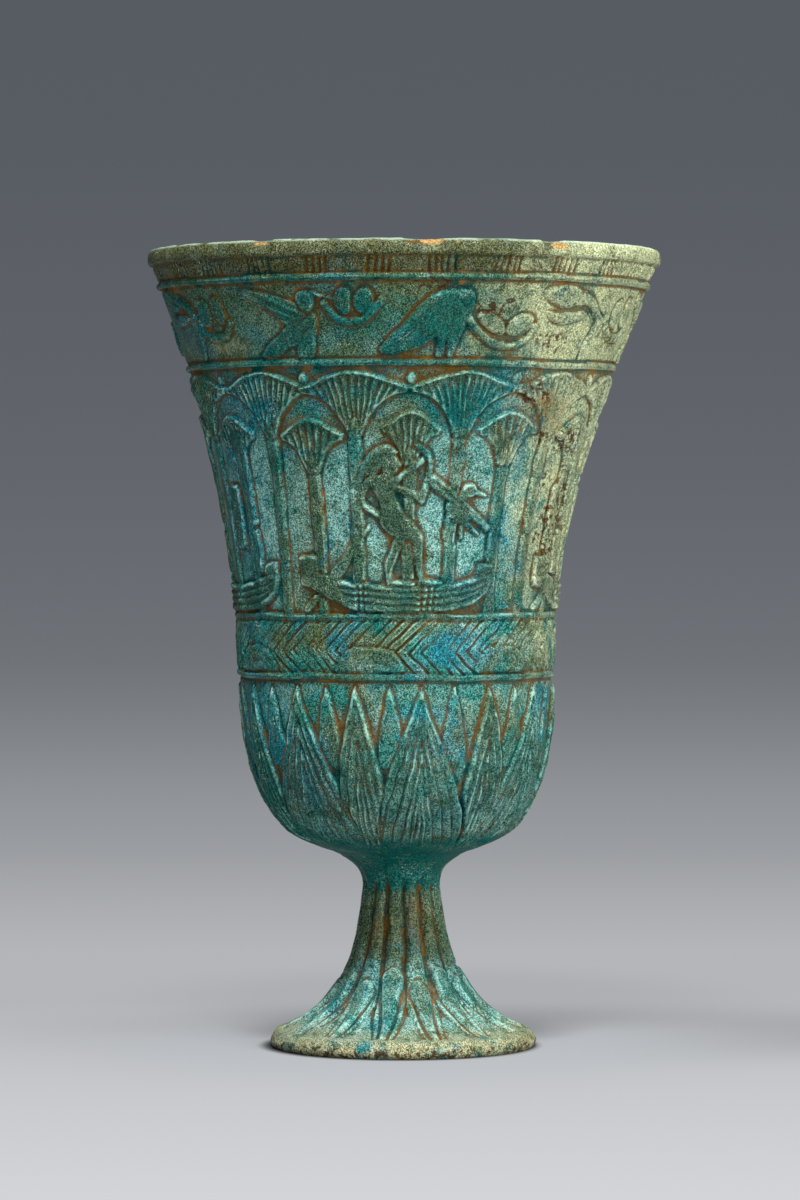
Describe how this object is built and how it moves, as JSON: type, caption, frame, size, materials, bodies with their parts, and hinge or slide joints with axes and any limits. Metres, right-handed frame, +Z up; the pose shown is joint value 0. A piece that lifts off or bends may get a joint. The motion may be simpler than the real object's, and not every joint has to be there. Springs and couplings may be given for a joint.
{
  "type": "chalice",
  "caption": "Turquoise faience chalice with a flared cup carved in low relief registers and a leaf calyx, luted to a fluted trumpet foot.",
  "frame": {"origin": "centre of the resting ring under the foot", "axes": "+Z up along the axis of the cup and foot, -Y towards the front of the relief shown in the picture, +X to the right seen from the front"},
  "size_m": [0.0934, 0.0932, 0.145],
  "materials": {
    "cup_glaze": "weathered teal faience glaze, satin to matte, brown deposits in the relief",
    "foot_glaze": "weathered green faience glaze, paler and sandy towards the edge",
    "slip": "unglazed sandy faience paste"
  },
  "bodies": {
    "root": {"cup": "cup_glaze", "foot": "foot_glaze", "luting_slip": "slip"}
  },
  "joints": []
}
